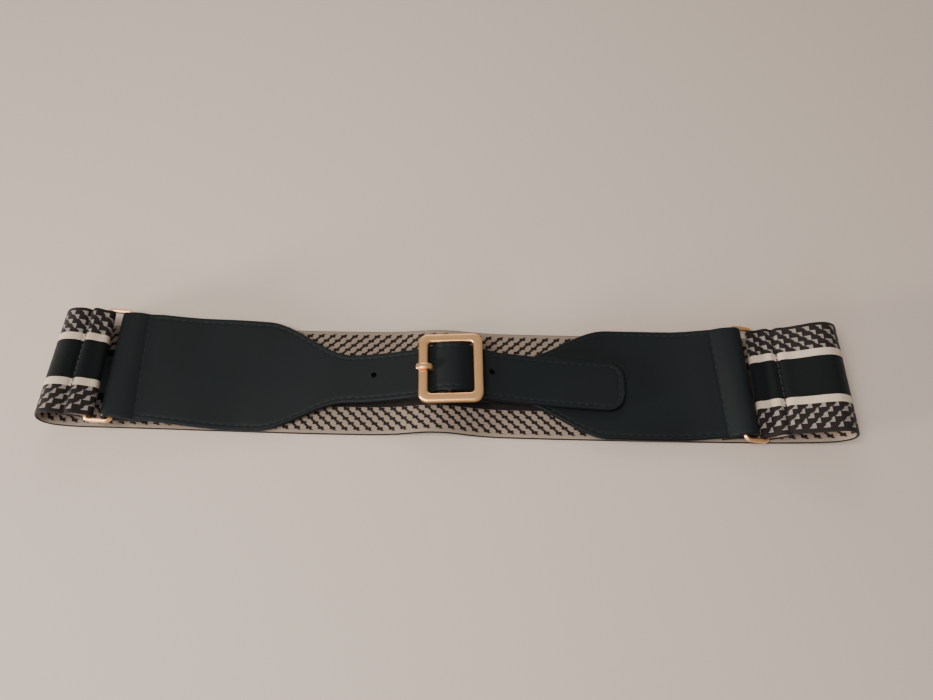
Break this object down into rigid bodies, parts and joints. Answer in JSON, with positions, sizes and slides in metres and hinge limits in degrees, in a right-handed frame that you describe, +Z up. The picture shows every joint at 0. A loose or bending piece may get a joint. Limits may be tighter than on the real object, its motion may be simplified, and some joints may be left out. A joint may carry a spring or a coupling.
{
  "type": "stretch waist belt",
  "caption": "Wide woven stretch waist belt, fastened and lying flattened, with leather front panels, a square prong buckle and rectangular wire rings.",
  "frame": {"origin": "on the surface that the belt lies on, under the centre of its bounding box", "axes": "+X along the belt towards the strap's free tip, +Y across its width to the edge away from the viewer, +Z up from the surface"},
  "size_m": [0.3438, 0.0549, 0.0194],
  "materials": {
    "woven_elastic": "matt jacquard weave in near-black and cream",
    "leather": "smooth and nearly matt, dark green-black",
    "gold_metal": "satin pale gold plating"
  },
  "bodies": {
    "root": {"elastic_band": "woven_elastic", "leather_strap_panel": "leather", "leather_chape_panel": "leather", "buckle_frame": "gold_metal", "buckle_prong": "gold_metal", "ring_left": "gold_metal", "ring_right": "gold_metal"}
  },
  "joints": []
}
